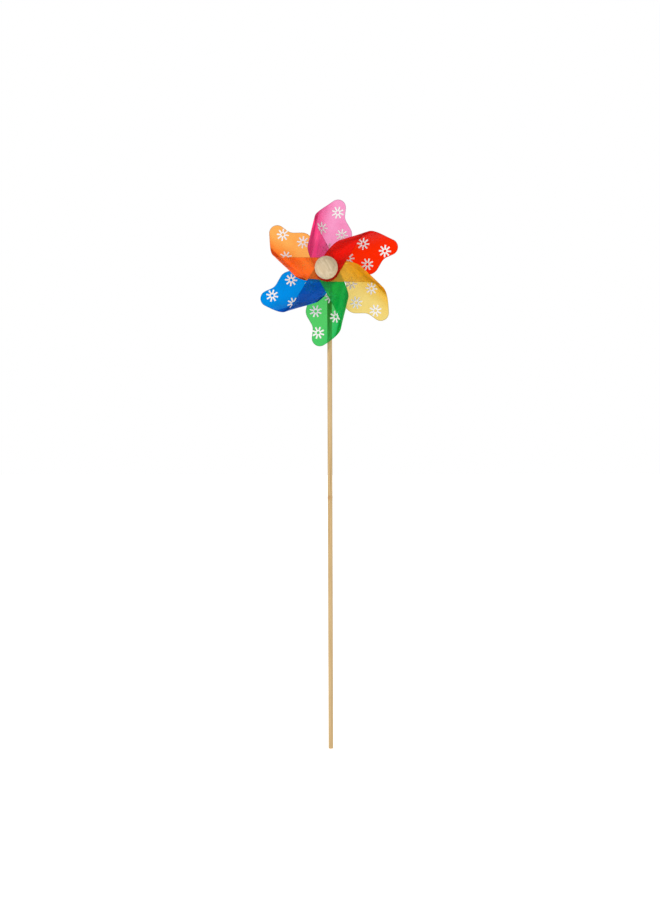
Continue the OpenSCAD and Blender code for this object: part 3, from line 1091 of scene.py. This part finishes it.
def plastic_material(name, colour, alpha):
    """Moulded plastic, clear where alpha is under 1."""
    material, tree, shader = new_material(name)
    place = add_node(tree, "ShaderNodeTexCoord").outputs["Object"]
    skin = add_node(tree, "ShaderNodeTexNoise",
                    {"Vector": place, "Scale": 900.0, "Detail": 3.0}).outputs["Fac"]
    tone = mix_colour(tree, skin, (*[dark_share * c for c in colour], 1), (*colour, 1))
    tree.links.new(tone, shader.inputs["Base Color"])
    shader.inputs["Alpha"].default_value = alpha
    roughen(tree, shader, skin, 0.25, 0.4)
    emboss(tree, shader, skin, 0.1, 0.0002)
    return material


wire = wire_material()
plastics = {"white_plastic": plastic_material("white_plastic", (0.86, 0.86, 0.84), 1.0),
            "clear_plastic": plastic_material("clear_plastic", (0.84, 0.88, 0.90), 0.45)}
print("materials:", ", ".join([wire.name, *plastics]))

# %% [markdown]
# The pin is a wire with a domed head at the back, turned like the rest.

# %% Pin
pin_back, pin_front, head_r = along_pin("axle_pin")
pin_r = 0.9
head_t = 0.8
dome_share = 0.7
dome_steps = 6
head_bevel = 0.1
point_len, point_in = 0.3, 0.35
pin_sides = 32
pin_profile = [(pin_back, 0)]
for i in range(1, dome_steps + 1):
    a = math.pi / 2 * i / dome_steps
    pin_profile.append((pin_back + head_t * dome_share * (1 - math.cos(a)), head_r * math.sin(a)))
pin_profile += [(pin_back + head_t, head_r - head_bevel), (pin_back + head_t, pin_r),
                (pin_front - point_len, pin_r), (pin_front, pin_r - point_in), (pin_front, 0)]
pin = turned("axle_pin_piece", pin_profile, "forwards", wire, pin_sides)
stands_for(pin, "axle_pin", "stick")
print(f"pin {pin_front - pin_back:.0f} mm long")

# %% [markdown]
# Spacer, tube and washers are four rings of one kind. Their outer edges are rounded, because a perfectly
# sharp edge never catches the light as a real one does.

# %% Spacer, tube and washers
edge_steps = 3
ring_sides = 40


def ring_profile(back, front, inner, outer, edge):
    """Closed profile of a ring whose outer edges are rounded by that much."""
    profile = [(back, inner), (back, outer - edge)]
    for i in range(1, edge_steps + 1):
        a = math.pi / 2 * i / edge_steps
        profile.append((back + edge * (1 - math.cos(a)), outer - edge + edge * math.sin(a)))
    for i in range(edge_steps):
        a = math.pi / 2 * i / edge_steps
        profile.append((front - edge + edge * math.sin(a), outer - edge + edge * math.cos(a)))
    return profile + [(front, outer - edge), (front, inner)]


small_rings = [("rear_spacer", "stick", "white_plastic", 0.3), ("hub_tube", "rotor", "white_plastic", 0.2),
               ("rear_washer", "rotor", "clear_plastic", 0.12),
               ("front_washer", "rotor", "clear_plastic", 0.15)]
for node, body, slot, edge in small_rings:
    back, front, outer = along_pin(node)
    ring = turned(node + "_piece", ring_profile(back, front, hole_r, outer, edge), "forwards",
                  plastics[slot], ring_sides)
    stands_for(ring, node, body)
print("rings:", ", ".join(node for node, *_ in small_rings))

# %% [markdown]
# The last step prints the finished object's box and the imported model's.

# %% Sizes and finish
visual_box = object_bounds()
for label, (low, high) in (("packed", cad_box), ("visual", visual_box)):
    print(label, [f"{a / MM:.1f} to {b / MM:.1f}" for a, b in zip(low, high)])
